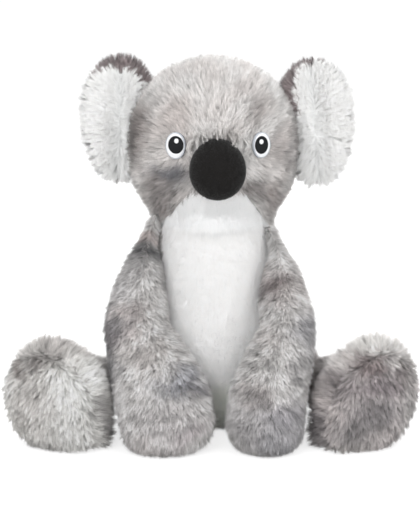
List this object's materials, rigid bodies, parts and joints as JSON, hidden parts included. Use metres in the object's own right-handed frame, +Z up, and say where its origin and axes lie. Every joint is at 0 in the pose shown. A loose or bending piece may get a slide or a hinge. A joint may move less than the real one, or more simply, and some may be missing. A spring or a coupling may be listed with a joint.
{
  "type": "sitting plush koala",
  "caption": "Sitting plush koala with an egg-shaped black nose, embroidered eyes, long white ear pile and round upturned feet.",
  "frame": {"origin": "on the floor, in the middle of the torso's flat seat", "axes": "+X towards the koala's left, -Y the way its chest faces, +Z up"},
  "size_m": [0.3428, 0.2162, 0.324],
  "materials": {
    "pale_grey_plush": "long pile",
    "mottled_grey_plush": "long pile, mottled",
    "brown_grey_plush": "long pile",
    "white_plush": "long pile",
    "black_fleece": "matte short fleece",
    "white_thread": "satin stitch",
    "black_thread": "satin stitch",
    "fibre_filling": "loose fibre"
  },
  "bodies": {
    "torso": {"torso_cover": "mottled_grey_plush", "belly_panel": "white_plush", "torso_filling": "fibre_filling"},
    "head": {"head_cover": "pale_grey_plush", "chin_panel": "white_plush", "head_filling": "fibre_filling", "nose_cover": "black_fleece", "nose_filling": "fibre_filling", "eye_white_right": "white_thread", "eye_pupil_right": "black_thread", "eye_glint_right": "white_thread", "eye_white_left": "white_thread", "eye_pupil_left": "black_thread", "eye_glint_left": "white_thread"},
    "ear_right": {"ear_front_right": "white_plush", "ear_back_right": "brown_grey_plush", "ear_wadding_right": "fibre_filling"},
    "arm_right": {"arm_cover_right": "mottled_grey_plush", "arm_filling_right": "fibre_filling"},
    "leg_right": {"leg_cover_right": "mottled_grey_plush", "sole_panel_right": "mottled_grey_plush", "leg_filling_right": "fibre_filling"},
    "ear_left": {"ear_front_left": "white_plush", "ear_back_left": "brown_grey_plush", "ear_wadding_left": "fibre_filling"},
    "arm_left": {"arm_cover_left": "mottled_grey_plush", "arm_filling_left": "fibre_filling"},
    "leg_left": {"leg_cover_left": "mottled_grey_plush", "sole_panel_left": "mottled_grey_plush", "leg_filling_left": "fibre_filling"}
  },
  "joints": [
    {"name": "neck_turn", "type": "hinge", "parent": "torso", "child": "head", "pos_m": [0, 0, 0.18], "axis": [0, 0, 1], "range_deg": [-25, 25], "stiffness_Nm_per_rad": 0.3},
    {"name": "ear_right_fold", "type": "hinge", "parent": "head", "child": "ear_right", "pos_m": [-0.07217, 0.00556, 0.27], "axis": [0, 0, 1], "range_deg": [-12, 12], "stiffness_Nm_per_rad": 0.03},
    {"name": "arm_right_lift", "type": "hinge", "parent": "torso", "child": "arm_right", "pos_m": [-0.055, -0.036, 0.146], "axis": [-1, 0, 0], "range_deg": [0, 60], "stiffness_Nm_per_rad": 0.15},
    {"name": "leg_right_lift", "type": "hinge", "parent": "torso", "child": "leg_right", "pos_m": [-0.08, -0.0175, 0.041], "axis": [-0.474, 0.7585, -0.4472], "range_deg": [0, 30], "stiffness_Nm_per_rad": 0.3},
    {"name": "ear_left_fold", "type": "hinge", "parent": "head", "child": "ear_left", "pos_m": [0.07217, 0.00556, 0.27], "axis": [0, 0, 1], "range_deg": [-12, 12], "stiffness_Nm_per_rad": 0.03},
    {"name": "arm_left_lift", "type": "hinge", "parent": "torso", "child": "arm_left", "pos_m": [0.055, -0.036, 0.146], "axis": [-1, 0, 0], "range_deg": [0, 60], "stiffness_Nm_per_rad": 0.15},
    {"name": "leg_left_lift", "type": "hinge", "parent": "torso", "child": "leg_left", "pos_m": [0.08, -0.0175, 0.041], "axis": [-0.474, -0.7585, 0.4472], "range_deg": [0, 30], "stiffness_Nm_per_rad": 0.3}
  ]
}
